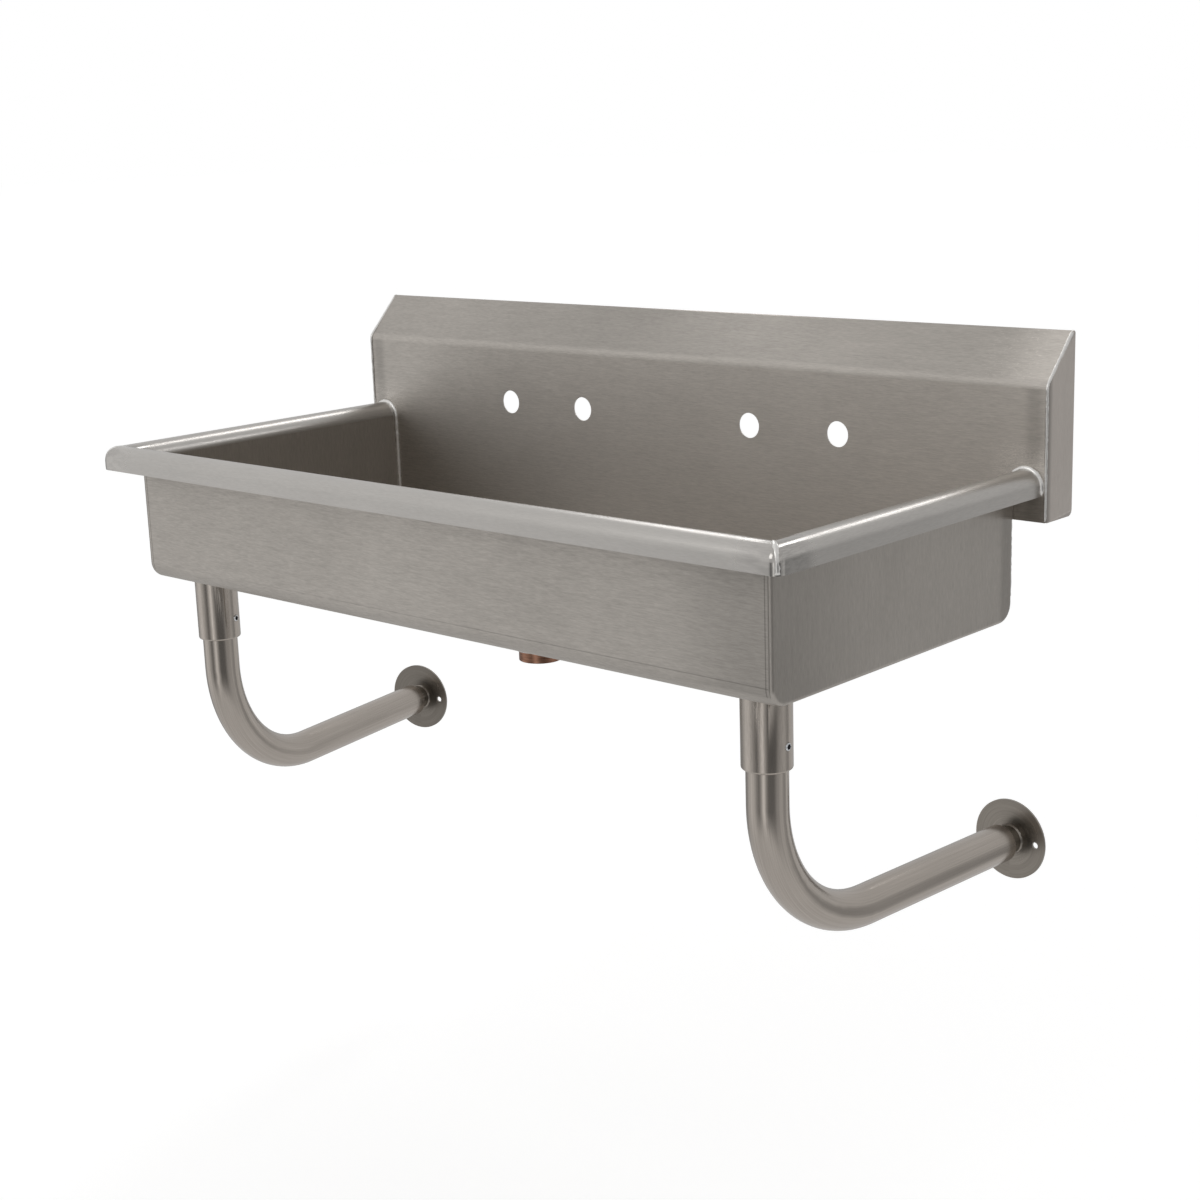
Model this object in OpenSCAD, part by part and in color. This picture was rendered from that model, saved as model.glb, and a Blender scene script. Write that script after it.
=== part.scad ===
// Wall hung trough sink of folded stainless sheet, with two bent tube supports.
// Millimetres. +X to the right, +Y towards the wall, +Z up.
// The origin is the middle of the rear hanging flange, on the wall.

/* [Basin] */
// Overall length of the sink
sink_length = 1016; // [860:4:1400]
// Front of the rim to the wall
sink_depth = 486; // [440:2:600]
// Rim top down to the underside of the floor, at the walls
bowl_drop = 161; // [130:0.5:230]
// Thickness of the sheet
sheet = 1.5; // [1:0.1:2.2]
// Outside radius of the bends along the bowl's bottom
floor_bend_r = 20; // [14:1:28]
// Outside radius of the ground corners round the end panels
corner_r = 5; // [3.5:0.5:9]
// Fall of the floor from its edges to the drain
floor_fall = 6; // [3:0.5:9]

/* [Rim] */
// Outside radius of the half round rim
rim_r = 17; // [14:0.5:20]
// Rim top down to the lower edge of its lip
lip_drop = 27; // [22:0.5:36]

/* [Splash] */
// Face of the splash to the wall
splash_depth = 50.8; // [40:0.4:64]
// How far the splash runs past the rim at each end
splash_margin = 6; // [2:0.5:16]
// Rim top up to the bend below the sloped top
splash_face_rise = 86; // [60:1:180]
// Angle of the sloped top from level
slope_angle = 47; // [35:1:55]
// Rim top down to the lower edge of the splash
splash_skirt = 54; // [44:1:70]
// Outside radius of the bends of the sloped top
top_bend_r = 3; // [2.5:0.5:7]
// Height of the flat flange that hangs on the wall cleat
hook_h = 24; // [16:1:34]
// Radius of the lower rear corner of the end caps
cap_corner_r = 7; // [4:0.5:12]
// Height of the end caps' rear hem
cap_hem_h = 40; // [25:1:60]

/* [Faucet holes] */
// Centre to centre of the two washing places
station_pitch = 378; // [330:1:420]
// Centre to centre of the two holes of a faucet
faucet_pitch = 122; // [90:1:210]
// Diameter of a faucet hole
faucet_hole_d = 28.6; // [20:0.2:36]
// Height of the faucet holes above the rim top
faucet_rise = 16; // [10:1:40]

/* [Arms] */
// End of the sink to the axis of a socket
socket_margin = 90; // [78:1:120]
// Bend at the bowl's front edge back to a socket
socket_setback = 11; // [4:1:30]
// Lower end of a socket down to the axis of the level run
arm_drop = 181; // [164:1:300]
// Outside diameter of the arm tube
arm_d = 41.3; // [36:0.1:43]
// Wall of the arm tube
arm_wall = 1.65; // [1.2:0.05:2.5]
// Radius of the arm's bend, on its axis
arm_bend_r = 144; // [100:1:155]
// Swing of the left arm away from the sink's middle
left_turn = 11; // [0:1:20]
// Swing of the right arm away from the sink's middle
right_turn = 4; // [0:1:20]

/* [Sockets] */
// Outside diameter of a socket
socket_d = 50; // [48:0.2:56]
// Length of a socket below the floor
socket_h = 77; // [70:1:110]
// Thickness of a socket's closed upper end
socket_cap = 8; // [5:0.5:14]
// Radius of the rolled lower edge of a socket
socket_roll_r = 2.5; // [1:0.25:3]
// Lower end of a socket up to its set screw
screw_rise = 25; // [16:1:34]
// Turn of the left socket's screw from straight right, towards the wall
left_screw_turn = 18; // [0:1:40]
// Turn of the right socket's screw from straight right, towards the wall
right_screw_turn = 0; // [0:1:40]
// Diameter of a set screw
screw_d = 8; // [6:0.5:9]
// How far a set screw stands out of its socket
screw_proud = 1.2; // [0.6:0.1:2.4]
// Width across flats of the set screw's hex recess
screw_hex = 4; // [3:0.5:5]
// Depth of the set screw's hex recess
screw_hex_depth = 3; // [2:0.25:4]

/* [Wall feet] */
// Diameter of a wall flange
flange_d = 88.9; // [80:0.1:96]
// Thickness of a wall flange
flange_t = 2.5; // [2:0.1:4]
// Centre to centre of the two screw holes of a wall flange
flange_hole_pitch = 65; // [54:0.5:68]
// Diameter of a wall flange's screw holes
flange_hole_d = 7.2; // [5:0.1:9]
// Diameter of the stub behind a wall flange
stub_d = 30; // [24:0.5:33]
// Bare length of stub between the tube and the flange
stub_bare = 18; // [15:0.5:24]
// Length of stub inside the insert
stub_engaged = 15; // [14:0.5:20]
// Leg of the weld fillet between stub and flange
weld_leg = 2; // [1:0.25:4]
// Diameter of the threaded stem
stem_d = 12.7; // [8:0.1:16]
// Length of the insert's bore for the stub
insert_bore_h = 30; // [30:0.5:40]
// Thickness of the insert's threaded web
insert_web = 12; // [8:0.5:18]
// Stem beyond the insert's web
stem_tail = 16; // [14:0.5:26]
// Flange face short of the wall, with the arm swung straight
wall_gap = 3; // [2.75:0.25:6]

/* [Drain] */
// Wall to the axis of the drain
drain_depth = 270; // [225:1:290]
// Diameter of the hole in the floor
drain_hole_d = 88.9; // [88:0.1:92]
// Diameter of the drain's flange
drain_flange_d = 112; // [106:0.5:116]
// Thickness of the drain's flange
drain_flange_t = 2; // [1.5:0.1:2.5]
// Diameter of the flat drain seat in the floor
drain_seat_d = 122; // [120:0.5:140]
// Outside diameter of the drain's cup
cup_d = 86; // [80:0.5:87]
// Wall of the drain's cup
cup_wall = 2.5; // [1.8:0.1:3]
// Depth of the straight part of the cup
cup_h = 32; // [30:0.5:42]
// Height of the cone below the straight part
cup_cone_h = 9; // [8:0.5:16]
// Length of the threaded boss below the cone
boss_h = 8; // [7:0.5:16]
// Wall of the threaded boss
boss_wall = 5; // [3:0.25:7]
// Outside diameter of the outlet nipple
nipple_d = 48.3; // [42:0.1:50]
// Wall of the outlet nipple
nipple_wall = 3.7; // [2.5:0.1:5]
// Length of nipple that stands out below the boss
nipple_out = 12.5; // [8:0.5:30]
// Depth of the nipple's thread, cut down where it enters the boss
nipple_thread = 1; // [0.5:0.1:1.5]
// Thickness of the rubber gasket
gasket_t = 3; // [2:0.25:4]
// Thickness of the friction ring
friction_ring_t = 1; // [0.6:0.1:2]
// Thickness of the locknut
locknut_t = 9; // [6:0.5:12]
// Width of the ring that gasket and locknut share
clamp_ring_w = 9; // [7:0.25:11]
// Length of a locknut lug beyond the ring
locknut_lug = 4; // [2:0.25:6]

/* [Basket] */
// Depth of the basket below its rim
basket_h = 20; // [14:0.5:21]
// Thickness of the basket's sheet
basket_sheet = 1; // [0.8:0.1:1.4]
// Width of the ledge that carries the basket's rim
basket_ledge = 3; // [2:0.25:4]
// Depth of the ledge below the drain's seat
ledge_drop = 6; // [4:0.5:8]
// Diameter of a hole in the basket
basket_hole_d = 5; // [3:0.25:6]
// Diameter of the basket's post
post_d = 6; // [4:0.25:8]
// Diameter of the basket's knob
knob_d = 18; // [12:0.5:24]
// Height of the knob
knob_h = 5; // [4:0.25:6]
// Diameter of the rubber stopper
stopper_d = 46; // [43:0.5:50]
// Thickness of the rubber stopper
stopper_t = 4; // [3:0.25:5]
// Diameter of the collar that holds the post up in the basket
collar_d = 12; // [9:0.5:16]
// Thickness of the collar
collar_t = 1.5; // [1:0.1:2.5]

/* [Clearances] */
// Gap between round faces that fit or seat together
fit_gap = 0.15; // [0.1:0.05:0.25]
// Gap between pieces that move past or rest close to each other
run_gap = 0.3; // [0.25:0.05:0.4]

/* [Hidden] */

$fn = 64;
LEFT = -1;
RIGHT = 1;
steel = "silver";
polished_steel = "gainsboro";
zinc = "lightsteelblue";
brass = "peru";
rubber = "dimgray";

// How far a cut runs past the face that it leaves
overrun = 2 * sheet;
// Turn of each flat step along a rounded bend of the sheet, in degrees
bend_step = 6;
// Sides of the drain seat where the pitched floor runs into it
seat_sides = 48;

// Heights, downwards from the hanging flange
top_z = hook_h / 2 + top_bend_r * tan((90 + slope_angle) / 2);
slope_z = top_z - splash_depth * tan(slope_angle);
rim_z = slope_z - splash_face_rise;
skirt_z = rim_z - splash_skirt;
floor_z = rim_z - bowl_drop;
socket_end_z = floor_z - socket_h;
arm_z = socket_end_z - arm_drop;

// Faces of the bowl: outside of the front wall, back wall and end panels
half_length = sink_length / 2;
bowl_half = half_length - splash_margin;
rim_w = 2 * rim_r;
front_y = -sink_depth + rim_w - sheet;
back_y = -splash_depth + sheet;
end_x = bowl_half - rim_w + sheet;
// Where the folded sheet stops and the end panels' round corners start
wrap_x = end_x - corner_r;
// Centres of the bends along the bowl's bottom
bend_front = front_y + floor_bend_r;
bend_back = back_y - floor_bend_r;
bend_z = floor_z + floor_bend_r;

// A point turned about the origin, in degrees
function turned(v, a) = [v[0] * cos(a) - v[1] * sin(a), v[0] * sin(a) + v[1] * cos(a)];
function unit(v) = v / norm(v);
function right_of(v) = [v[1], -v[0]];
function turn_between(u, v) = atan2(u[0] * v[1] - u[1] * v[0], u * v);

// The arc at one corner of a path, drawn at an offset to the path's right
function bend(before, corner, after, r, offset) =
    let (
        u = unit(corner - before),
        a = turn_between(u, unit(after - corner)),
        side = sign(a),
        start = corner - u * r * tan(abs(a) / 2),
        centre = start - right_of(u) * side * r,
        spoke = right_of(u) * side * (r + side * offset),
        steps = ceil(abs(a) / bend_step)
    )
    [for (k = [0:steps]) centre + turned(spoke, a * k / steps)];

// A path with rounded corners, at an offset to its right
function rounded_path(points, radii, offset = 0) =
    let (last = len(points) - 1)
    [
        points[0] + right_of(unit(points[1] - points[0])) * offset,
        for (i = [1:last - 1]) each bend(points[i - 1], points[i], points[i + 1], radii[i], offset),
        points[last] + right_of(unit(points[last] - points[last - 1])) * offset
    ];

function reversed(list) = [for (i = [len(list) - 1:-1:0]) list[i]];

// Outline of folded sheet whose finished face follows the path
function folded(points, radii, thickness) =
    concat(rounded_path(points, radii), reversed(rounded_path(points, radii, thickness)));

// Cross-sections, as [Y, Z] points
hollow_r = floor_bend_r - sheet;
lip_foot = [-sink_depth, rim_z - lip_drop];
rim_outer = [-sink_depth, rim_z];
rim_inner = [-sink_depth + rim_w, rim_z];
rim_foot = [-sink_depth + rim_w, rim_z - rim_r];
floor_front = [-sink_depth + rim_w, floor_z + sheet];
floor_back = [-splash_depth, floor_z + sheet];
splash_foot = [-splash_depth, skirt_z];
slope_foot = [-splash_depth, slope_z];
slope_top = [0, top_z];
hook_foot = [0, -hook_h / 2];

wrap_section = folded(
    [lip_foot, rim_outer, rim_inner, floor_front, floor_back, slope_foot, slope_top, hook_foot],
    [0, rim_r, rim_r, hollow_r, hollow_r, top_bend_r, top_bend_r, 0],
    sheet);
rim_section = folded([lip_foot, rim_outer, rim_inner, rim_foot], [0, rim_r, rim_r, 0], sheet);
splash_section = folded(
    [splash_foot, slope_foot, slope_top, hook_foot], [0, top_bend_r, top_bend_r, 0], sheet);

// Draws its children on one side, mirrored for the left
module on_side(side) {
    mirror([side == LEFT ? 1 : 0, 0, 0]) children();
}

// Draws a [Y, Z] section from one X to a higher one
module along_x(from_x, to_x) {
    translate([from_x, 0, 0]) rotate([90, 0, 90]) linear_extrude(to_x - from_x) children();
}

module ring(outer_r, inner_r, h) {
    linear_extrude(h) difference() {
        circle(outer_r);
        circle(inner_r);
    }
}

// The part of a corner that belongs to the front rim, cut on the mitre
module mitre_prism() {
    far = rim_w + corner_r;
    translate([bowl_half, -sink_depth, rim_z - lip_drop - overrun])
        linear_extrude(lip_drop + 2 * overrun)
            polygon([[0, 0], [-far, far], [-far, -overrun], [0, -overrun]]);
}

// The pitched floor's lower or upper surface, as a solid below it
module floor_pan(z, thickness) {
    hull() {
        translate([-wrap_x, bend_front, z]) cube([2 * wrap_x, bend_back - bend_front, thickness]);
        translate([0, -drain_depth, z - floor_fall])
            cylinder(d = drain_seat_d, h = thickness, $fn = seat_sides);
    }
}

// Front rim, front wall, floor, back wall and splash, folded from one sheet
module basin_sheet() {
    color(steel) difference() {
        union() {
            along_x(-wrap_x, wrap_x) polygon(wrap_section);
            for (side = [LEFT, RIGHT]) on_side(side) {
                along_x(wrap_x, half_length - sheet) polygon(splash_section);
                intersection() {
                    along_x(wrap_x, bowl_half) polygon(rim_section);
                    mitre_prism();
                }
            }
            floor_pan(floor_z, sheet);
        }
        floor_pan(floor_z + sheet, overrun);
        translate([0, -drain_depth, floor_z - floor_fall - overrun])
            cylinder(d = drain_hole_d, h = floor_fall + sheet + 2 * overrun);
        for (station = [-station_pitch, station_pitch] / 2, hole = [-faucet_pitch, faucet_pitch] / 2)
            translate([station + hole, back_y + overrun, rim_z + faucet_rise])
                rotate([90, 0, 0]) cylinder(d = faucet_hole_d, h = sheet + 2 * overrun);
    }
}

// Round corner of an end panel and the flat wall inside it, outwards from a bend's centre
module corner_section(filled_out = false) {
    inset_r = floor_bend_r - corner_r;
    translate([0, corner_r - sheet]) square([inset_r, sheet]);
    translate([inset_r, 0]) difference() {
        intersection() {
            circle(filled_out ? 2 * corner_r : corner_r);
            square(corner_r);
        }
        circle(corner_r - sheet);
    }
}

// The round corner taken along the front, bottom and back edges of an end panel
module corner_run(top) {
    translate([wrap_x, bend_front, bend_z]) rotate(-90)
        linear_extrude(top - sheet - bend_z) corner_section();
    translate([wrap_x, bend_front, top - sheet]) rotate(-90)
        linear_extrude(sheet) corner_section(filled_out = true);
    translate([wrap_x, bend_back, bend_z]) mirror([0, 1, 0]) rotate(-90)
        linear_extrude(skirt_z - bend_z) corner_section();
    translate([wrap_x, bend_back, bend_z]) rotate([90, 0, 0]) rotate(-90)
        linear_extrude(bend_back - bend_front) corner_section();
    for (b = [[bend_front, 180], [bend_back, 270]])
        translate([wrap_x, b[0], bend_z]) rotate([90, 0, 90]) rotate(b[1])
            rotate_extrude(angle = 90) corner_section();
}

// End wall of the bowl with its own half round rim, mitred at the front
module end_panel(side) {
    top = rim_z - rim_r;
    color(steel) on_side(side) {
        along_x(end_x - sheet, end_x) polygon([
            [bend_front, bend_z], [bend_back, bend_z], [bend_back, skirt_z],
            [-splash_depth, skirt_z], [-splash_depth, top], [bend_front, top]]);
        corner_run(top);
        difference() {
            translate([bowl_half, -sink_depth, 0]) rotate([90, 0, 180])
                linear_extrude(sink_depth - splash_depth) translate([sink_depth, 0]) polygon(rim_section);
            mitre_prism();
        }
    }
}

// Cap that closes an end of the splash, with its hem turned in along the bottom and back
module splash_cap(side) {
    seam = [-splash_depth / 2, skirt_z];
    hem_top = [0, skirt_z + cap_hem_h];
    color(steel) on_side(side) {
        along_x(half_length - sheet, half_length) polygon(rounded_path(
            [seam, splash_foot, slope_foot, slope_top, [0, skirt_z], seam],
            [0, sheet, top_bend_r, top_bend_r, cap_corner_r, 0]));
        along_x(end_x + run_gap, half_length - sheet)
            polygon(folded([hem_top, [0, skirt_z], [back_y, skirt_z]], [0, cap_corner_r, 0], sheet));
    }
}

// The sockets stand behind the bend along the bowl's front
socket_r = socket_d / 2;
socket_reach = -(bend_front + socket_setback + socket_r);
arm_engaged = socket_h - socket_cap - run_gap;
socket_bore_r = arm_d / 2 + run_gap;
screw_tip = arm_d / 2 + run_gap;

// Places its children at a socket's foot, with +X along its set screw
module at_socket(side) {
    screw_turn = side == LEFT ? left_screw_turn : right_screw_turn;
    translate([side * (half_length - socket_margin), -socket_reach, socket_end_z])
        rotate(screw_turn) children();
}

// Turned sleeve, closed at the top, welded under the floor and coped to its fall
module arm_socket(side) {
    roll_at = socket_r - socket_roll_r;
    bore_h = socket_h - socket_cap;
    color(polished_steel) difference() {
        at_socket(side) difference() {
            rotate_extrude() difference() {
                polygon([[socket_bore_r, 0], [socket_r, 0], [socket_r, socket_h], [0, socket_h],
                    [0, bore_h], [socket_bore_r, bore_h]]);
                difference() {
                    translate([roll_at, -overrun]) square([socket_roll_r + overrun, socket_roll_r + overrun]);
                    translate([roll_at, socket_roll_r]) circle(socket_roll_r);
                }
            }
            translate([0, 0, screw_rise]) rotate([0, 90, 0])
                cylinder(r = screw_d / 2 + fit_gap, h = socket_r + overrun);
        }
        floor_pan(floor_z, overrun);
    }
}

// Hex socket set screw that clamps the arm in its socket
module set_screw(side) {
    screw_l = socket_r + screw_proud - screw_tip;
    chamfer = screw_d / 10;
    color(zinc) at_socket(side) translate([screw_tip, 0, screw_rise]) rotate([0, 90, 0])
        difference() {
            union() {
                cylinder(d1 = screw_d - 2 * chamfer, d2 = screw_d, h = chamfer);
                translate([0, 0, chamfer]) cylinder(d = screw_d, h = screw_l - 2 * chamfer);
                translate([0, 0, screw_l - chamfer])
                    cylinder(d1 = screw_d, d2 = screw_d - 2 * chamfer, h = chamfer);
            }
            translate([0, 0, screw_l - screw_hex_depth])
                cylinder(d = screw_hex / cos(30), h = screw_hex_depth + overrun, $fn = 6);
        }
}

// Places its children at an arm: +Z along the socket's axis, +Y along the level run
module at_arm(side) {
    turn = side == LEFT ? left_turn : -right_turn;
    translate([side * (half_length - socket_margin), -socket_reach, arm_z]) rotate(turn) children();
}

// Distances along the level run, from the socket's axis
foot_face = socket_reach - wall_gap;
disc_front = foot_face - flange_t;
tube_end = disc_front - stub_bare;
insert_start = tube_end - insert_bore_h - insert_web;
stub_start = tube_end - stub_engaged;
arm_top = socket_end_z - arm_z + arm_engaged;

// Solid or bore of a bent arm of one radius
module bent_bar(r, extra) {
    translate([0, 0, arm_bend_r]) cylinder(r = r, h = arm_top - arm_bend_r + extra);
    translate([0, arm_bend_r, arm_bend_r]) rotate([90, 0, 90]) rotate(180)
        rotate_extrude(angle = 90) translate([arm_bend_r, 0]) circle(r);
    translate([0, arm_bend_r, 0]) rotate([-90, 0, 0]) cylinder(r = r, h = tube_end - arm_bend_r + extra);
}

// Bent support tube, from its socket to just short of the wall
module arm_tube(side) {
    color(polished_steel) at_arm(side) difference() {
        bent_bar(arm_d / 2, 0);
        bent_bar(arm_d / 2 - arm_wall, overrun);
    }
}

// Places its children on the level run, with +Z along it, at a distance from the socket's axis
module on_run(side, distance) {
    at_arm(side) translate([0, distance, 0]) rotate([-90, 0, 0]) children();
}

// Plug pressed into the tube, with a bore for the stub and a threaded web for the stem
module tube_insert(side) {
    insert_r = arm_d / 2 - arm_wall - fit_gap;
    color(zinc) on_run(side, insert_start) difference() {
        cylinder(r = insert_r, h = insert_web + insert_bore_h);
        translate([0, 0, insert_web])
            cylinder(r = stub_d / 2 + run_gap, h = insert_bore_h + overrun);
        translate([0, 0, -overrun])
            cylinder(r = stem_d / 2 + run_gap, h = insert_web + 2 * overrun);
    }
}

// Threaded stem that draws the foot in and out
module foot_stem(side) {
    stem_start = insert_start - stem_tail;
    color(zinc) on_run(side, stem_start) cylinder(d = stem_d, h = stub_start - stem_start);
}

// Stub between the stem and the wall flange, with the weld that joins the two
module flange_stub(side) {
    stub_r = stub_d / 2;
    stub_l = disc_front - stub_start;
    weld_low = stub_l - weld_leg;
    color(steel) on_run(side, stub_start) rotate_extrude()
        polygon([[0, 0], [stub_r, 0], [stub_r, weld_low], [stub_r + weld_leg, stub_l], [0, stub_l]]);
}

// Round flange that is screwed to the wall
module flange_disc(side) {
    color(steel) on_run(side, disc_front) difference() {
        cylinder(d = flange_d, h = flange_t);
        for (x = [-flange_hole_pitch, flange_hole_pitch] / 2)
            translate([x, 0, -overrun]) cylinder(d = flange_hole_d, h = flange_t + 2 * overrun);
    }
}

// Radii and heights of the drain, from the top of its seat
cup_r = cup_d / 2;
cup_in_r = cup_r - cup_wall;
ledge_in_r = cup_in_r - basket_ledge;
nipple_r = nipple_d / 2;
nipple_in_r = nipple_r - nipple_wall;
thread_r = nipple_r - nipple_thread;
boss_bore_r = thread_r + fit_gap;
boss_r = boss_bore_r + boss_wall;
cone_low = -cup_h - cup_cone_h;
boss_low = cone_low - boss_h;
clamp_in_r = cup_r + fit_gap;
clamp_r = clamp_in_r + clamp_ring_w;

// Places its children on the drain's axis, at a height from the seat
module at_drain(z) {
    translate([0, -drain_depth, floor_z + sheet - floor_fall + z]) children();
}

// Cast drain: flange on the floor, cup with the basket's ledge, cone and outlet boss
module drain_body() {
    flange_edge = drain_flange_t / 2;
    color(brass) at_drain(0) rotate_extrude() polygon([
        [drain_flange_d / 2, 0], [drain_flange_d / 2, flange_edge], [cup_r, drain_flange_t],
        [cup_in_r + flange_edge, drain_flange_t], [cup_in_r, flange_edge], [cup_in_r, -ledge_drop],
        [ledge_in_r, -ledge_drop], [ledge_in_r, -cup_h], [nipple_in_r, cone_low],
        [boss_bore_r, cone_low], [boss_bore_r, boss_low], [boss_r, boss_low], [boss_r, cone_low],
        [cup_r, -cup_h], [cup_r, 0]]);
}

module drain_gasket() {
    color(rubber) at_drain(-sheet - gasket_t) ring(clamp_r, clamp_in_r, gasket_t);
}

module drain_friction_ring() {
    color("tan") at_drain(-sheet - gasket_t - friction_ring_t)
        ring(clamp_r, clamp_in_r, friction_ring_t);
}

// Lugged nut that clamps the drain to the floor
module drain_locknut() {
    lugs = 8;
    lug_w = clamp_ring_w;
    color(brass) at_drain(-sheet - gasket_t - friction_ring_t - locknut_t)
        linear_extrude(locknut_t) difference() {
            union() {
                circle(clamp_r);
                for (k = [1:lugs]) rotate(360 * k / lugs - 180 / lugs)
                    translate([0, -lug_w / 2]) square([clamp_r + locknut_lug, lug_w]);
            }
            circle(clamp_in_r);
        }
}

// Copper coloured pipe nipple, screwed into the boss
module outlet_nipple() {
    color("chocolate") {
        at_drain(boss_low - nipple_out) ring(nipple_r, nipple_in_r, nipple_out);
        at_drain(boss_low) ring(thread_r, nipple_in_r, boss_h);
    }
}

// Heights in the basket, and the stopper's place where it meets the cone
basket_low = -ledge_drop - basket_h;
basket_floor = basket_low + basket_sheet;
basket_rim = -ledge_drop + basket_sheet;
post_r = post_d / 2;
post_hole_r = post_r + fit_gap;
cone_slope = cup_cone_h / (ledge_in_r - nipple_in_r);
stopper_low = cone_low + (stopper_d / 2 - nipple_in_r) * cone_slope + run_gap;

// Perforated basket that hangs on the drain's ledge
module basket_cup() {
    rim_outer_r = cup_in_r - run_gap;
    outer_r = ledge_in_r - 2 * run_gap;
    inner_r = outer_r - basket_sheet;
    circles = [[8, inner_r / 2], [16, inner_r - basket_hole_d]];
    color(polished_steel) at_drain(0) difference() {
        rotate_extrude() polygon([
            [post_hole_r, basket_low], [outer_r, basket_low], [outer_r, -ledge_drop],
            [rim_outer_r, -ledge_drop], [rim_outer_r, basket_rim], [inner_r, basket_rim],
            [inner_r, basket_floor], [post_hole_r, basket_floor]]);
        for (row = circles, k = [1:row[0]]) rotate(360 * k / row[0])
            translate([row[1], 0, basket_low - overrun])
                cylinder(d = basket_hole_d, h = basket_sheet + 2 * overrun);
        for (k = [1:16]) rotate(360 * k / 16)
            translate([inner_r - overrun, 0, basket_low + basket_h / 2])
                rotate([0, 90, 0]) cylinder(d = basket_hole_d, h = basket_sheet + 2 * overrun);
    }
}

// Post through the basket, with its collar and the knob that it is lifted by
module basket_post() {
    collar_top = basket_floor + collar_t;
    color(polished_steel) at_drain(0) rotate_extrude() polygon([
        [0, stopper_low], [post_r, stopper_low], [post_r, basket_floor], [collar_d / 2, basket_floor],
        [collar_d / 2, collar_top], [post_r, collar_top], [post_r, -knob_h],
        [knob_d / 2, -knob_h * 2 / 3], [knob_d / 2, -knob_h / 3], [knob_d / 3, 0], [0, 0]]);
}

// Rubber disc that closes the outlet when the post is down
module basket_stopper() {
    color(rubber) at_drain(stopper_low) ring(stopper_d / 2, post_hole_r, stopper_t);
}

basin_sheet();
end_panel(LEFT);  // left_end_panel
end_panel(RIGHT);  // right_end_panel
splash_cap(LEFT);  // left_splash_cap
splash_cap(RIGHT);  // right_splash_cap
arm_socket(LEFT);  // left_arm_socket
arm_socket(RIGHT);  // right_arm_socket
set_screw(LEFT);  // left_set_screw
set_screw(RIGHT);  // right_set_screw
arm_tube(LEFT);  // left_arm_tube
arm_tube(RIGHT);  // right_arm_tube
tube_insert(LEFT);  // left_tube_insert
tube_insert(RIGHT);  // right_tube_insert
foot_stem(LEFT);  // left_foot_stem
foot_stem(RIGHT);  // right_foot_stem
flange_stub(LEFT);  // left_flange_stub
flange_stub(RIGHT);  // right_flange_stub
flange_disc(LEFT);  // left_flange_disc
flange_disc(RIGHT);  // right_flange_disc
drain_body();
drain_gasket();
drain_friction_ring();
drain_locknut();
outlet_nipple();
basket_cup();
basket_post();
basket_stopper();
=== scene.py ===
"""Wall hung trough sink of folded stainless sheet, on two bent tube arms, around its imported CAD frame."""
import bpy, bmesh, math, random
from mathutils import Matrix, Vector


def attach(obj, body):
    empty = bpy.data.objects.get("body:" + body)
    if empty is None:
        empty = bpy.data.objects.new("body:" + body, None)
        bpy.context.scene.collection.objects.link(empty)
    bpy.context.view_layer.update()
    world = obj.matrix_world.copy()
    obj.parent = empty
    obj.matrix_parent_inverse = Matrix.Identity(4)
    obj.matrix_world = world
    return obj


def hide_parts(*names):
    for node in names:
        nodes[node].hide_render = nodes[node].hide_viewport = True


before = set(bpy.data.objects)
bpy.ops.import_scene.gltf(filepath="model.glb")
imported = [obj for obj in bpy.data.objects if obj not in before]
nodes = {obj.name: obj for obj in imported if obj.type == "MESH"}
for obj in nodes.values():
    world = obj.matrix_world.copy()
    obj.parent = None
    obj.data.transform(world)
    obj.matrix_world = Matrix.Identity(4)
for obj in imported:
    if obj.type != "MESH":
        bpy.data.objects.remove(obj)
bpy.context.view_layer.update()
scene = bpy.context.scene

# The room: a white surround and a pale floor at the height that such a sink hangs above, with soft
# studio light. Metal sees the surround as pale panels with darker gaps. None of it is the sink.
FLOOR_Z = -0.99
ROOM_REACH = 80.0
# The floor's white, and its glow where it is seen, with which it passes into the surround
FLOOR_WHITE, FLOOR_LIFT = 0.86, 0.36
KEY_SIDE = Vector((-0.80, -0.30, 0.50)).normalized()
# What metal sees overhead: a glow towards the key side and a dusk away from it. Each has the
# nearness to the key side where it starts and ends, and its brightness there.
KEY_GLOW, FAR_DUSK = (0.30, 0.92, 0.63, 0.80), (-0.98, -0.60, 0.50, 1.0)
# Heights of the direction, as a sine, where the panels pass into the ceiling and into the floor
TO_CEILING, TO_FLOOR = (-0.10, 0.24), (-0.32, -0.62)
# How bright the floor looks in metal, and how bright the surround is for all that isn't glossy
FLOOR_GLOW, FILL_GLOW = 0.66, 0.75
# Direction from the sink in degrees, from +X towards +Y, and how bright the surround is there
PANELS = ((-180, 0.42), (-170, 0.58), (-152, 0.82), (-138, 0.84), (-131, 0.80), (-127, 0.58),
          (-121, 0.62), (-113, 0.44), (-105, 0.30), (-97, 0.14), (-84, 0.50), (-72, 1.15), (-60, 0.48),
          (-47, 0.14), (-17, 0.14), (4, 0.44), (28, 0.58), (44, 0.40), (50, 0.30), (55, 0.40),
          (62, 0.66), (84, 0.62), (133, 0.46), (168, 0.30), (180, 0.42))


def fill(tree, sockets, values):
    """Each socket gets its value, or a link from the socket that is given for it."""
    for socket, value in zip(sockets, values):
        if isinstance(value, bpy.types.NodeSocket):
            tree.links.new(value, socket)
        else:
            socket.default_value = value


def add_node(tree, kind, **values):
    """A shader node: sockets are set or linked by their names, and plain settings by theirs."""
    made = tree.nodes.new(kind)
    for name, value in values.items():
        socket = made.inputs.get(name.replace("_", " "))
        if socket is None and hasattr(made, name):
            setattr(made, name, value)
        else:
            fill(tree, (socket,), (value,))
    return made


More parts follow.
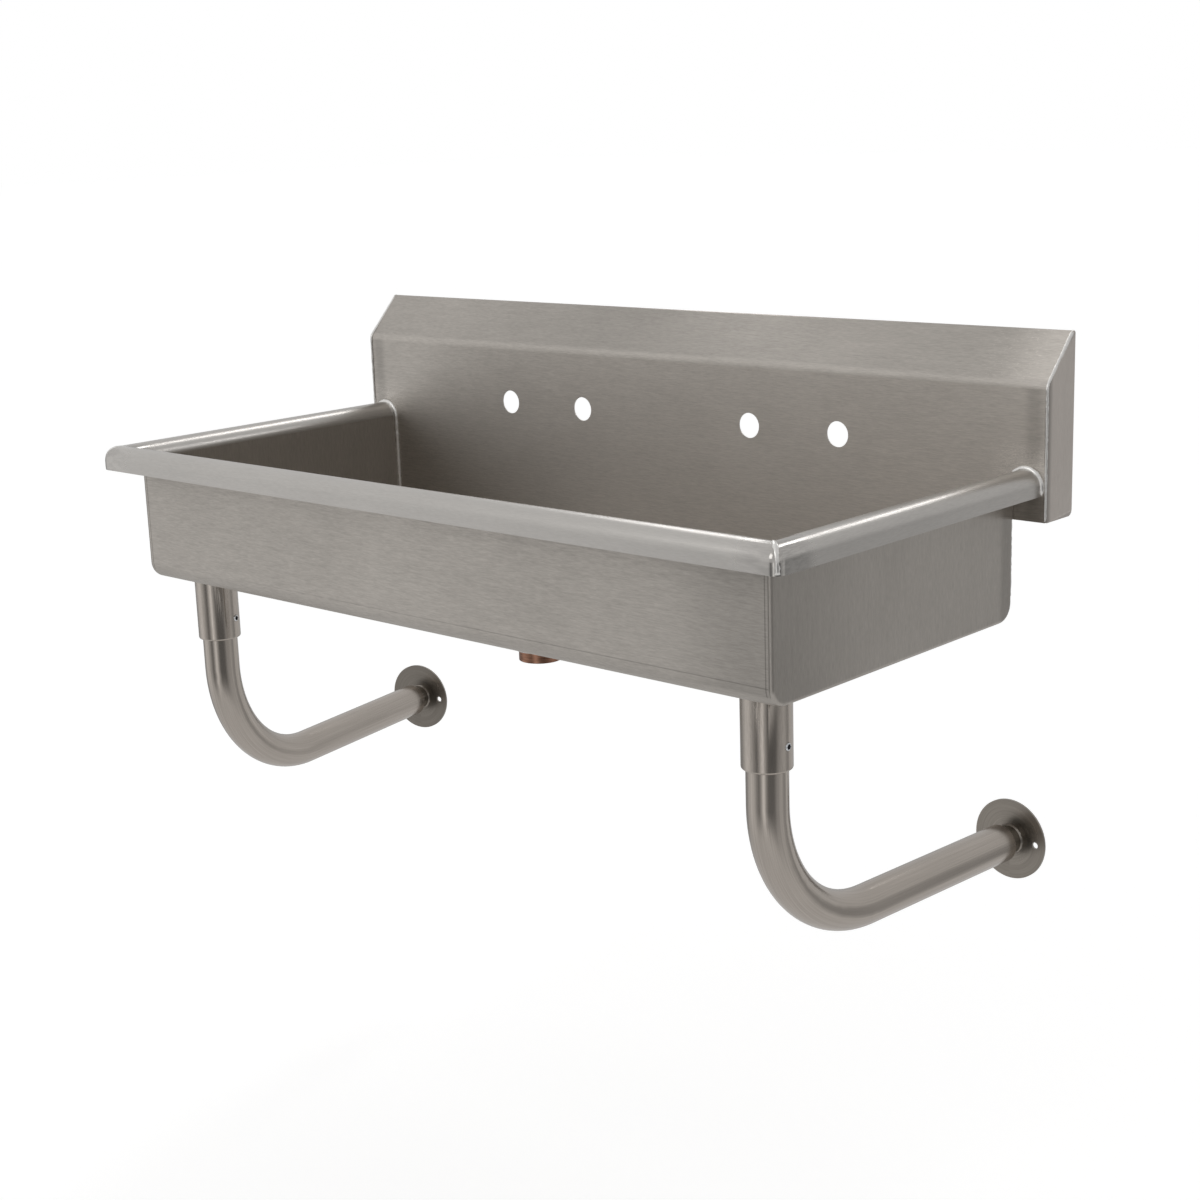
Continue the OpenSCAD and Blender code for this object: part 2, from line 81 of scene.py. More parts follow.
def arithmetic(tree, operation, *values):
    """One sum of up to three values or sockets."""
    made = add_node(tree, "ShaderNodeMath", operation=operation)
    fill(tree, made.inputs, values)
    return made.outputs[0]


def rising(tree, value, low, high, bottom=0.0, top=1.0):
    """A value that climbs smoothly from bottom to top while another goes from low to high."""
    return add_node(tree, "ShaderNodeMapRange", Value=value, interpolation_type="SMOOTHSTEP", From_Min=low,
                    From_Max=high, To_Min=bottom, To_Max=top).outputs[0]


def blended(tree, share, first, second):
    """The first value or socket where share is 0, and the second where it is 1."""
    made = add_node(tree, "ShaderNodeMix", data_type="FLOAT")
    fill(tree, (made.inputs[0], made.inputs[2], made.inputs[3]), (share, first, second))
    return made.outputs[0]


world = bpy.data.worlds.new("studio_surround")
scene.world = world
world.use_nodes = True
surround = world.node_tree
surround.nodes.clear()
ray = add_node(surround, "ShaderNodeLightPath")
direction = add_node(surround, "ShaderNodeTexCoord").outputs["Generated"]
heading = add_node(surround, "ShaderNodeSeparateXYZ", Vector=direction)
turn = arithmetic(surround, "ARCTAN2", heading.outputs["Y"], heading.outputs["X"])
turn = arithmetic(surround, "MULTIPLY_ADD", turn, 1 / math.tau, 0.5)
panels = add_node(surround, "ShaderNodeValToRGB", Fac=turn)
panels.color_ramp.interpolation = "EASE"
stops = panels.color_ramp.elements
stops.remove(stops[1])
for k, (degrees, brightness) in enumerate(PANELS):
    stop = stops[0] if k == 0 else stops.new((degrees + 180) / 360)
    stop.position = (degrees + 180) / 360
    stop.color = (brightness, brightness, brightness, 1.0)
towards_key = add_node(surround, "ShaderNodeVectorMath", operation="DOT_PRODUCT")
surround.links.new(direction, towards_key.inputs[0])
towards_key.inputs[1].default_value = KEY_SIDE
key_share = towards_key.outputs["Value"]
above = arithmetic(surround, "MULTIPLY", rising(surround, key_share, *KEY_GLOW),
                   rising(surround, key_share, *FAR_DUSK))
below = blended(surround, rising(surround, heading.outputs["Z"], *TO_FLOOR), panels.outputs["Color"],
                FLOOR_GLOW)
metal_sees = blended(surround, rising(surround, heading.outputs["Z"], *TO_CEILING), below, above)
is_seen = arithmetic(surround, "MAXIMUM", ray.outputs["Is Camera Ray"], ray.outputs["Is Transmission Ray"])
unseen = blended(surround, ray.outputs["Is Glossy Ray"], FILL_GLOW, metal_sees)
strength = blended(surround, is_seen, unseen, 1.0)
background = add_node(surround, "ShaderNodeBackground", Color=(1.0, 1.0, 1.0, 1.0), Strength=strength)
add_node(surround, "ShaderNodeOutputWorld", Surface=background.outputs[0])

bpy.ops.mesh.primitive_plane_add(size=ROOM_REACH, location=(0, 0, FLOOR_Z))
floor = bpy.context.object
floor.name = "studio_floor"
floor.visible_glossy = False
floor_finish = bpy.data.materials.new("pale_floor")
floor_finish.use_nodes = True
tree = floor_finish.node_tree
tree.nodes.clear()
ray = add_node(tree, "ShaderNodeLightPath")
matt = add_node(tree, "ShaderNodeBsdfDiffuse", Color=(FLOOR_WHITE, FLOOR_WHITE, FLOOR_WHITE, 1.0))
seen = arithmetic(tree, "MAXIMUM", ray.outputs["Is Camera Ray"], ray.outputs["Is Transmission Ray"])
lift = add_node(tree, "ShaderNodeEmission", Color=(1.0, 1.0, 1.0, 1.0),
                Strength=arithmetic(tree, "MULTIPLY", seen, FLOOR_LIFT))
both = add_node(tree, "ShaderNodeAddShader")
tree.links.new(matt.outputs[0], both.inputs[0])
tree.links.new(lift.outputs[0], both.inputs[1])
# From below, the floor is clear, so that the underside can be looked at
from_below = add_node(tree, "ShaderNodeNewGeometry").outputs["Backfacing"]
one_sided = add_node(tree, "ShaderNodeMixShader", Fac=from_below)
tree.links.new(both.outputs[0], one_sided.inputs[1])
tree.links.new(add_node(tree, "ShaderNodeBsdfTransparent").outputs[0], one_sided.inputs[2])
add_node(tree, "ShaderNodeOutputMaterial", Surface=one_sided.outputs[0])
floor.data.materials.append(floor_finish)

# Each lamp's place and the point that it is aimed at, its size, and its power in watts
for name, place, aim, size, power in (
        ("front_softbox", (-0.15, -2.1, 1.1), (0.2, -0.1, -0.1), (1.1, 0.9), 4),
        ("right_strip_light", (0.385, 0.40, 0.43), (0.485, -0.25, -0.13), (0.13, 0.34), 0.47),
        ("left_strip_light", (-0.55, 0.40, 0.68), (-0.485, -0.25, -0.13), (0.20, 0.60), 1.25)):
    lamp = bpy.data.lights.new(name, "AREA")
    lamp.shape = "RECTANGLE"
    lamp.size, lamp.size_y = size
    lamp.energy = power
    holder = bpy.data.objects.new(name, lamp)
    scene.collection.objects.link(holder)
    holder.location = place
    holder.visible_camera = False
    holder.rotation_euler = (Vector(aim) - Vector(place)).to_track_quat("-Z", "Y").to_euler()

scene.view_settings.view_transform = "Standard"

# The camera stands a little above the rim, to the right of the sink's front.
# Its focal length is in pixels of a frame 1200 pixels wide.
FRAME_PX = 1200
FOCAL_PX = 2018.25
CAMERA_AT = (1.5323, -1.8239, 0.2456)
CAMERA_YAW, CAMERA_PITCH, CAMERA_ROLL = (math.radians(a) for a in (42.80, -13.63, -1.94))
camera_data = bpy.data.cameras.new("camera")
camera_data.sensor_width = 36.0
camera_data.lens = FOCAL_PX * camera_data.sensor_width / FRAME_PX
camera_data.clip_end = 200.0
camera = bpy.data.objects.new("camera", camera_data)
scene.collection.objects.link(camera)
camera.matrix_world = (Matrix.Translation(CAMERA_AT) @ Matrix.Rotation(CAMERA_YAW, 4, "Z")
                       @ Matrix.Rotation(math.pi / 2 + CAMERA_PITCH, 4, "X")
                       @ Matrix.Rotation(CAMERA_ROLL, 4, "Z"))
scene.camera = camera

# Basin sheet: front rim, front wall, floor, back wall, splash and its sloped top are one stainless
# sheet, folded on a press and left with the mill's brushed grain, which runs along the sink.
# Points this close are one point, edges turned by more than this stay crisp, and large faces count
# this much in the shading
MERGE_REACH, CRISP_TURN, FACE_WEIGHT = 2e-6, math.radians(32), 60
# A face is square to its grain where the sine between them is smaller
SQUARE_TO_GRAIN = 0.05


def dressed(node, body, material, shape=None, grain=None, also=None):
    """A rounded copy of a CAD piece: its facets are smoothed, and its real edges stay crisp.

    shape(work) may work on the mesh first, grain is the way that it was brushed, and also is a
    second material with the test of which faces take it."""
    piece = bpy.data.objects.new(node + "_dressed", nodes[node].data.copy())
    scene.collection.objects.link(piece)
    work = bmesh.new()
    work.from_mesh(piece.data)
    bmesh.ops.remove_doubles(work, verts=work.verts, dist=MERGE_REACH)
    if shape:
        shape(work)
    piece.data.materials.clear()
    piece.data.materials.append(material)
    if also:
        piece.data.materials.append(also[0])
    work.normal_update()
    across_grain = work.loops.layers.uv.new("across_grain") if grain else None
    for face in work.faces:
        face.smooth = True
        centre = face.calc_center_median()
        face.material_index = 1 if also and also[1](centre) else 0
        if grain:
            across = face.normal.cross(grain)
            if across.length < SQUARE_TO_GRAIN:
                across = face.normal.orthogonal()
            across.normalize()
            for loop in face.loops:
                loop[across_grain].uv = (loop.vert.co.dot(across), loop.vert.co.dot(grain))
    work.to_mesh(piece.data)
    work.free()
    piece.data.set_sharp_from_angle(angle=CRISP_TURN)
    weighted = piece.modifiers.new("even_shading", "WEIGHTED_NORMAL")
    weighted.keep_sharp = True
    weighted.weight = FACE_WEIGHT
    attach(piece, body)
    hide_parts(node)


def grain_group():
    """Brushed grain: fine and coarse streaks along one direction, and slow clouds in the polish."""
    group = bpy.data.node_groups.new("brushed_grain", "ShaderNodeTree")
    for name, kind, default in (("Vector", "NodeSocketVector", None),
                                ("Stretch", "NodeSocketVector", (1, 1, 1)),
                                ("Cloud_Size", "NodeSocketFloat", 6.0)):
        socket = group.interface.new_socket(name=name, in_out="INPUT", socket_type=kind)
        if default is not None:
            socket.default_value = default
    for name in ("Fine", "Coarse", "Clouds"):
        group.interface.new_socket(name=name, in_out="OUTPUT", socket_type="NodeSocketFloat")
    inward = group.nodes.new("NodeGroupInput")
    outward = group.nodes.new("NodeGroupOutput")
    stretched = add_node(group, "ShaderNodeVectorMath", operation="MULTIPLY")
    group.links.new(inward.outputs["Vector"], stretched.inputs[0])
    group.links.new(inward.outputs["Stretch"], stretched.inputs[1])
    for name, scale, detail in (("Fine", 1.0, 3.0), ("Coarse", 0.22, 2.0)):
        streaks = add_node(group, "ShaderNodeTexNoise", Vector=stretched.outputs[0], Scale=scale,
                           Detail=detail, Roughness=0.6)
        group.links.new(streaks.outputs["Fac"], outward.inputs[name])
    clouds = add_node(group, "ShaderNodeTexNoise", Vector=inward.outputs["Vector"],
                      Scale=inward.outputs["Cloud_Size"], Detail=3.0, Roughness=0.5)
    group.links.new(clouds.outputs["Fac"], outward.inputs["Clouds"])
    return group


BRUSHED_GRAIN = grain_group()
# How much the fine streaks, the coarse ones and the clouds tell in a finish
FINE_SHARE, COARSE_SHARE, CLOUD_SHARE = 0.75, 0.25, 0.35
# Tones of the grain that are darkest, lightest, roughest and glossiest
DARK_TONE, LIGHT_TONE, ROUGH_TONE, GLOSSY_TONE = 0.42, 0.92, 0.4, 0.95
RELIEF_DEPTH = 0.0005


def near(tree, value, at, half_width, soft):
    """1 where a value is close to one number, fading to 0 on both sides."""
    gap = arithmetic(tree, "ABSOLUTE", arithmetic(tree, "SUBTRACT", value, at))
    return rising(tree, gap, half_width, half_width + soft, 1.0, 0.0)


def times(tree, first, *others):
    """Masks multiplied with each other."""
    for other in others:
        first = arithmetic(tree, "MULTIPLY", first, other)
    return first


def spots(tree, fineness, detail, roughness, low, high):
    """Scattered soft spots, where a cloudy pattern passes from low to high."""
    clouds = add_node(tree, "ShaderNodeTexNoise", Scale=fineness, Detail=detail, Roughness=roughness)
    return rising(tree, clouds.outputs["Fac"], low, high)


def shaded(tree, so_far, mask, strength):
    """A brightness times what a mark leaves of it; a negative strength makes it lighter."""
    left = arithmetic(tree, "MULTIPLY_ADD", mask, -strength, 1.0)
    return arithmetic(tree, "MULTIPLY", so_far, left)


def marked(tree, marks):
    """The brightness that marks leave: each has its place, its own mask and how much darker it is."""
    brightness = 1.0
    for place, mark, strength in marks:
        brightness = shaded(tree, brightness, times(tree, place, mark), strength)
    return brightness


def brushed_metal(name, base, stretch, roughness=0.34, spread=0.05, bump=0.05, marks=None,
                  grain_place=None, contrast=0.13, brushed=0.0):
    """Brushed metal whose colour, gloss and relief follow one grain.

    marks(tree, x, y, z) gives a brightness and a polish, grain_place(tree, place) bends the grain,
    and brushed draws the highlights out across it."""
    material = bpy.data.materials.new(name)
    material.use_nodes = True
    tree = material.node_tree
    shader = tree.nodes["Principled BSDF"]
    shader.inputs["Metallic"].default_value = 1.0
    if brushed:
        shader.inputs["Anisotropic"].default_value = brushed
        across = add_node(tree, "ShaderNodeTangent", direction_type="UV_MAP", uv_map="across_grain")
        tree.links.new(across.outputs[0], shader.inputs["Tangent"])
    place = add_node(tree, "ShaderNodeTexCoord").outputs["Object"]
    grain = add_node(tree, "ShaderNodeGroup", node_tree=BRUSHED_GRAIN)
    tree.links.new(grain_place(tree, place) if grain_place else place, grain.inputs["Vector"])
    grain.inputs["Stretch"].default_value = stretch
    streak = arithmetic(tree, "MULTIPLY_ADD", grain.outputs["Fine"], FINE_SHARE,
                        times(tree, grain.outputs["Coarse"], COARSE_SHARE))
    tone = arithmetic(tree, "ADD", streak, times(tree, grain.outputs["Clouds"], CLOUD_SHARE))
    shade = add_node(tree, "ShaderNodeValToRGB", Fac=tone)
    dark, light = shade.color_ramp.elements
    dark.position, light.position = DARK_TONE, LIGHT_TONE
    dark.color = (*[c * (1 - contrast) for c in base], 1.0)
    light.color = (*[min(c * (1 + contrast), 1.0) for c in base], 1.0)
    rough = add_node(tree, "ShaderNodeMapRange", Value=tone, From_Min=ROUGH_TONE, From_Max=GLOSSY_TONE,
                     To_Min=roughness + spread, To_Max=roughness - spread).outputs[0]
    colour = shade.outputs["Color"]
    if marks:
        parts = add_node(tree, "ShaderNodeSeparateXYZ", Vector=place)
        brightness, polish = marks(tree, parts.outputs["X"], parts.outputs["Y"], parts.outputs["Z"])
        worn = add_node(tree, "ShaderNodeMix", data_type="RGBA", blend_type="MULTIPLY")
        worn.inputs[0].default_value = 1.0
        tree.links.new(colour, worn.inputs[6])
        tree.links.new(brightness, worn.inputs[7])
        colour = worn.outputs[2]
        rough = arithmetic(tree, "SUBTRACT", rough, polish)
    tree.links.new(colour, shader.inputs["Base Color"])
    tree.links.new(rough, shader.inputs["Roughness"])
    relief = add_node(tree, "ShaderNodeBump", Height=streak, Strength=bump, Distance=RELIEF_DEPTH)
    tree.links.new(relief.outputs[0], shader.inputs["Normal"])
    return material


STEEL, POLISHED_STEEL = (0.46, 0.43, 0.395), (0.52, 0.50, 0.475)
# Fineness of the grain along the brushing and across it
ALONG, ACROSS = 110.0, 1150.0
# Places on the sheet, in metres: its weld seams, front face, bottom bend's line, splash face and caps
SEAM_X, FRONT_Y, BEND_LINE_Z, SPLASH_Y, CAP_X = 0.4615, -0.4535, -0.26186, -0.0508, 0.5066
# The rim: its reach to the ends and the front, its top, its roll's radius and how far its lip hangs
RIM_HALF_LENGTH, RIM_FRONT_Y, RIM_Z, RIM_R, LIP_DROP = 0.502, -0.486, -0.12086, 0.017, 0.027
RIM_FOOT_Z = RIM_Z - LIP_DROP
CORNER_PLAN_R, CORNER_STEPS = 0.011, 8
# The slope starts at this height and turns back by this many degrees, over a softer bend than the
# CAD's. The bend's axis lies under the slope's foot by the tangent of half that turn.
SLOPE_FOOT_Z, SLOPE_TURN, HALF_TURN_TANGENT = -0.03486, 43, 0.394
BEND_R, BEND_STEPS, CAD_BEND_R = 0.012, 8, 0.003
BEND_AXIS = Vector((0, SPLASH_Y + BEND_R, SLOPE_FOOT_Z - HALF_TURN_TANGENT * BEND_R))
# The faces to be bent start in front of a y, and reach between two heights
BEND_ZONE_Y, BEND_ZONE_TOP_Z, BEND_ZONE_FOOT_Z = -0.0465, -0.0308, -0.0400
# Less than this is no length at all
NO_LENGTH = 1e-7


def on_front(tree, y):
    """1 on the front wall's face, and 0 behind it."""
    return rising(tree, y, FRONT_Y + 0.001, FRONT_Y + 0.003, 1.0, 0.0)


def sheet_marks(tree, x, y, z):
    """Dark lines over the bottom bend and at the seams, a front darker towards its right end, darker bands
    by the caps, lighter spots by the welds, speckles, and painted light, shade and highlights on the splash
    and slope.
    """
    from_middle = arithmetic(tree, "ABSOLUTE", x)
    front = on_front(tree, y)
    splash = times(tree, near(tree, y, SPLASH_Y, 0.0006, 0.0012),
                   rising(tree, z, SLOPE_FOOT_Z - 0.006, SLOPE_FOOT_Z - 0.002, 1.0, 0.0))
    slope = rising(tree, z, SLOPE_FOOT_Z + 0.001, SLOPE_FOOT_Z + 0.006)
    # A dark line along the front over the bottom bend, fading towards the left
    line_over_bend = times(tree, near(tree, z, BEND_LINE_Z, 0.0003, 0.0006),
                       rising(tree, x, -0.45, 0.25, 0.15, 1.0))
    # The front darker towards its right end
    right_end_darkening = rising(tree, x, 0.33, 0.45)
    seam = near(tree, from_middle, SEAM_X, 0.0003, 0.0007)
    # Painted light: the splash is made lighter towards its right end
    painted_light_right = rising(tree, x, -0.44, -0.05)
    by_cap = near(tree, from_middle, CAP_X - 0.014, 0.002, 0.012)
    # Painted highlight: a lighter band along the bend at the slope's foot
    slope_foot_highlight = near(tree, z, SLOPE_FOOT_Z - 0.0005, 0.0015, 0.0045)
    by_weld = times(tree, near(tree, z, RIM_Z + 0.004, 0.006, 0.024),
                    near(tree, from_middle, RIM_HALF_LENGTH - RIM_R, 0.014, 0.040),
                    spots(tree, 420.0, 3.0, 0.6, 0.36, 0.66))
    # Painted highlight: the slope glows lighter towards its right end
    painted_glow_end = rising(tree, x, 0.43, CAP_X + 0.004)
    # Painted shade: the slope is darker round its middle
    painted_shade_middle = near(tree, x, 0.04, 0.06, 0.36)
    speckled_end = times(tree, near(tree, x, 0.455, 0.015, 0.035),
                         spots(tree, 260.0, 4.0, 0.7, 0.56, 0.66))
    return marked(tree, (
        (front, line_over_bend, 0.26), (front, right_end_darkening, 0.20), (front, seam, 0.36),
        (splash, painted_light_right, -0.22), (splash, by_cap, 0.18), (1.0, slope_foot_highlight, -0.13),
        (splash, by_weld, -0.30), (slope, painted_glow_end, -0.36), (slope, painted_shade_middle, 0.13),
        (slope, speckled_end, -0.22))), 0.0


def rim_marks(tree, x, y, z):
    """Grinding left slow waves in the gloss at the rim's welded corners."""
    at_corner = times(tree, rising(tree, arithmetic(tree, "ABSOLUTE", x), 0.44, 0.48),
                      rising(tree, y, RIM_FRONT_Y + 0.03, RIM_FRONT_Y + 0.06, 1.0, 0.0))
    return (marked(tree, ((at_corner, spots(tree, 38.0, 2.0, 0.5, 0.40, 0.62), 0.12),)),
            times(tree, at_corner, 0.20))


def rounded_corners(work):
    """The rim's front corners, turned on a radius in plan where their mitres are welded and ground."""
    reach_x, reach_y = RIM_HALF_LENGTH - CORNER_PLAN_R, RIM_FRONT_Y + CORNER_PLAN_R
    for k in range(CORNER_STEPS):
        step = CORNER_PLAN_R * k / CORNER_STEPS
        for place, way in (((reach_x + step, 0, 0), (1, 0, 0)), ((-reach_x - step, 0, 0), (1, 0, 0)),
                           ((0, reach_y - step, 0), (0, 1, 0))):
            bmesh.ops.bisect_plane(work, geom=work.verts[:] + work.edges[:] + work.faces[:],
                                   dist=MERGE_REACH / 2, plane_co=place, plane_no=way)
    for vert in work.verts:
        out_x, out_y = abs(vert.co.x) - reach_x, reach_y - vert.co.y
        if min(out_x, out_y) > NO_LENGTH:
            pull = max(out_x, out_y) / math.hypot(out_x, out_y)
            vert.co.x = math.copysign(reach_x + out_x * pull, vert.co.x)
            vert.co.y = reach_y - out_y * pull


def soft_bend(work):
    """The press bent the sheet softly where the splash turns into its sloped top."""
    for k in range(BEND_STEPS + 1):
        turn = math.radians(SLOPE_TURN * k / BEND_STEPS)
        faces = [f for f in work.faces if min(v.co.y for v in f.verts) < BEND_ZONE_Y
                 and min(v.co.z for v in f.verts) < BEND_ZONE_TOP_Z
                 and max(v.co.z for v in f.verts) > BEND_ZONE_FOOT_Z]
        around = list({e for f in faces for e in f.edges} | {v for f in faces for v in f.verts})
        bmesh.ops.bisect_plane(work, geom=faces + around, dist=MERGE_REACH / 2, plane_co=BEND_AXIS,
                               plane_no=(0, math.sin(turn), math.cos(turn)))
    for vert in work.verts:
        out_y, up_z = BEND_AXIS.y - vert.co.y, vert.co.z - BEND_AXIS.z
        reach = math.hypot(out_y, up_z)
        turned = math.degrees(math.atan2(up_z, out_y))
        if BEND_R < reach < BEND_R + CAD_BEND_R and -0.01 < turned < SLOPE_TURN + 0.1:
            vert.co.y = BEND_AXIS.y - out_y * BEND_R / reach
            vert.co.z = BEND_AXIS.z + up_z * BEND_R / reach


def sheet_shape(work):
    """Both rounded front corners, and the soft bend under the slope."""
    rounded_corners(work)
    soft_bend(work)


def on_front_rim(centre):
    """Whether a face is part of the polished front rim."""
    return centre.z > RIM_FOOT_Z - 0.001 and centre.y < FRONT_Y + 0.002


ALONG_X = (ALONG, ACROSS, ACROSS)
sheet_finish = brushed_metal("brushed_sheet", STEEL, ALONG_X, roughness=0.41, marks=sheet_marks,
                             contrast=0.17, brushed=0.82)
front_rim_finish = brushed_metal("polished_front_rim", POLISHED_STEEL, ALONG_X, roughness=0.33,
                                 spread=0.04, contrast=0.08, marks=rim_marks)
dressed("basin_sheet", "sink", sheet_finish, shape=sheet_shape, grain=Vector((1, 0, 0)),
        also=(front_rim_finish, on_front_rim))

# End panels: a flat end wall with a ground round corner and its own half round rim, welded to the
# basin sheet and mitred at the front. Their grain stands upright.
PANEL_LINE_X, END_FACE_X = 0.4653, 0.4691
ALONG_Y, ALONG_Z = (ACROSS, ALONG, ACROSS), (ACROSS, ACROSS, ALONG)


def end_marks(tree, x, y, z):
    """The dark line beside the corner's weld, painted shade on the end wall's front, and a band ground
    across at the rear.
    """
    from_middle = arithmetic(tree, "ABSOLUTE", x)
    outside = rising(tree, from_middle, END_FACE_X - 0.0002, END_FACE_X + 0.0002)
    corner_line = near(tree, from_middle, PANEL_LINE_X, 0.0003, 0.0006)
    # Painted shade: the end wall's outer face is darker towards its front
    painted_shade_front = rising(tree, y, FRONT_Y, -0.30, 1.0, 0.0)
    rear_band = rising(tree, y, SPLASH_Y - 0.026, SPLASH_Y - 0.016)
    return (marked(tree, ((on_front(tree, y), corner_line, 0.34), (outside, painted_shade_front, 0.20),
                          (outside, rear_band, 0.22))),
            times(tree, rear_band, 0.05))


def on_end_rim(centre):
    """Whether a face is part of an end panel's polished rim."""
    return (centre.z > RIM_FOOT_Z - 0.001 and abs(centre.x) > RIM_HALF_LENGTH - 2 * RIM_R - 0.0002
            and centre.y < SPLASH_Y + 0.001)


end_finish = brushed_metal("brushed_end", STEEL, ALONG_Z, roughness=0.37, marks=end_marks,
                           contrast=0.15, brushed=0.60)
end_rim_finish = brushed_metal("polished_end_rim", POLISHED_STEEL, ALONG_Y, roughness=0.31,
                               spread=0.04, contrast=0.09, marks=rim_marks)
for side in ("left", "right"):
    dressed(side + "_end_panel", "sink", end_finish, shape=rounded_corners,
            grain=Vector((0, 0, 1)), also=(end_rim_finish, on_end_rim))

# Splash caps: small folded plates of the same sheet that close the ends of the splash. They are
# welded to it along its edge and ground flush.
# Their colour is lighter than the sheet's steel: a painted lift of light on the caps
CAP_LIT_STEEL = (0.555, 0.51, 0.47)


def cap_marks(tree, x, y, z):
    """Ground duller beside the weld at its front."""
    by_weld = rising(tree, y, SPLASH_Y + 0.002, SPLASH_Y + 0.010, 1.0, 0.0)
    return shaded(tree, 1.0, by_weld, 0.42), 0.0


cap_finish = brushed_metal("brushed_cap", CAP_LIT_STEEL, ALONG_Z, roughness=0.36, contrast=0.08,
                           marks=cap_marks)
for side in ("left", "right"):
    dressed(side + "_splash_cap", "sink", cap_finish)

# Welds: each end rim is welded to the splash over its top and down the bowl's rear corner, and to
# the front rim at its mitre, and each cap along the splash's edge. The beads were ground by hand and
# are a little uneven.
WELD_STEP, BEAD_SIDES, END_SHARE = 0.003, 10, 0.4


def bead(name, points, radii, seed, back=1.0, ripple=0.13):
    """A weld bead along a line of points, with its own radius at each and a small ripple.

    It ends flat at back in y, inside the sheet that it is welded to."""
    steps = random.Random(seed)
    path, widths = [Vector(points[0])], [radii[0]]
    for a, b, r0, r1 in zip(points, points[1:], radii, radii[1:]):
        a, b = Vector(a), Vector(b)
        count = max(1, round((b - a).length / WELD_STEP))
        for k in range(1, count + 1):
            path.append(a.lerp(b, k / count))
            widths.append((r0 + (r1 - r0) * k / count) * steps.uniform(1 - ripple, 1 + ripple))
    work = bmesh.new()
    rings = []
    for k, (at, width) in enumerate(zip(path, widths)):
        ahead = (path[min(k + 1, len(path) - 1)] - path[max(k - 1, 0)]).normalized()
        side_way = ahead.cross(Vector((0, 1, 0.001))).normalized()
        up_way = ahead.cross(side_way).normalized()
        closed = END_SHARE if k in (0, len(path) - 1) else 1.0
        ring = [at + (side_way * math.cos(t) + up_way * math.sin(t)) * width * closed
                for t in (math.tau * j / BEAD_SIDES for j in range(BEAD_SIDES))]
        rings.append([work.verts.new((v.x, min(v.y, back), v.z)) for v in ring])
    for low, high in zip(rings, rings[1:]):
        for j in range(BEAD_SIDES):
            after = (j + 1) % BEAD_SIDES
            work.faces.new((low[j], low[after], high[after], high[j]))
    work.faces.new(rings[0][::-1])
    work.faces.new(rings[-1])
    bmesh.ops.recalc_face_normals(work, faces=work.faces)
    for face in work.faces:
        face.smooth = True
    mesh = bpy.data.meshes.new(name)
    work.to_mesh(mesh)
    work.free()
    piece = bpy.data.objects.new(name, mesh)
    scene.collection.objects.link(piece)
    mesh.materials.append(weld_bright_finish)
    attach(piece, "sink")


def level_radii(path, first, middle, last):
    """One radius along a path, but for its ends."""
    return [first] + [middle] * (len(path) - 2) + [last]


# The beads' near white colour is a painted highlight on the ground welds
weld_bright_finish = brushed_metal("ground_weld_bright", (0.80, 0.785, 0.76), (500.0,) * 3, roughness=0.30, bump=0.3)
HALF_ROUND = [math.radians(t) for t in range(0, 181, 12)]
REAR_RADII = [0.0024] + [0.0040] * 12 + [0.0034, 0.0030, 0.0028, 0.0026, 0.0026]
# The rear bead slips this far into the bowl's corner and bites this far into the splash
INSIDE, BITE = 0.0018, 0.0008
# The mitre's bead runs this far inside the rim's face, and its corner cuts across the plan radius
SUNK, DIAGONAL = 0.0031, 0.7071
CAP_FOOT_Z, SLOPE_TOP = -0.1735, (-0.0022, 0.0152)
for side, sign in (("left", -1), ("right", 1)):
    over_rim = [(sign * RIM_HALF_LENGTH, SPLASH_Y, RIM_FOOT_Z)]
    over_rim += [(sign * (RIM_HALF_LENGTH - RIM_R + RIM_R * math.cos(t) - INSIDE * t / math.pi), SPLASH_Y,
                  RIM_Z - RIM_R + RIM_R * math.sin(t)) for t in HALF_ROUND]
    over_rim.append((sign * (RIM_HALF_LENGTH - 2 * RIM_R - INSIDE), SPLASH_Y, BEND_LINE_Z + 0.004))
    bead(side + "_rear_weld", over_rim, REAR_RADII, 7 + sign, back=SPLASH_Y + BITE)
    up_cap = [(sign * CAP_X, SPLASH_Y, CAP_FOOT_Z)]
    up_cap += [(sign * CAP_X, BEND_AXIS.y - BEND_R * math.cos(t), BEND_AXIS.z + BEND_R * math.sin(t))
               for t in (math.radians(degrees) for degrees in range(0, SLOPE_TURN + 1, 8))]
    up_cap.append((sign * CAP_X, *SLOPE_TOP))
    bead(side + "_cap_weld", up_cap, level_radii(up_cap, 0.0015, 0.0016, 0.0018), 17 + sign)
    mitre = []
    turned = 2 * RIM_R - CORNER_PLAN_R
    for t in HALF_ROUND:
        across = RIM_R - (RIM_R - SUNK) * math.cos(t)
        across = min(across, turned + (across - turned) * DIAGONAL)
        mitre.append((sign * (RIM_HALF_LENGTH - 2 * RIM_R + across), RIM_FRONT_Y + 2 * RIM_R - across,
                      RIM_Z - RIM_R + (RIM_R - SUNK) * math.sin(t)))
    mitre += [(*mitre[-1][:2], RIM_FOOT_Z + above_edge) for above_edge in (0.0012, 0.0004)]
    bead(side + "_mitre_weld", mitre, level_radii(mitre, 0.0036, 0.0037, 0.0036), 27 + sign, ripple=0.05)

# Sleeves: turned from bar, welded under the floor, and polished lengthwise. The arm's end goes in
# from below, and a zinc plated hex socket set screw holds it.
TUBE_STEEL = (0.47, 0.425, 0.382)
sleeve_finish = brushed_metal("polished_sleeve", TUBE_STEEL, ALONG_Z, roughness=0.20, spread=0.04)
screw_finish = brushed_metal("zinc_plate", (0.80, 0.82, 0.84), (400.0,) * 3, roughness=0.30)
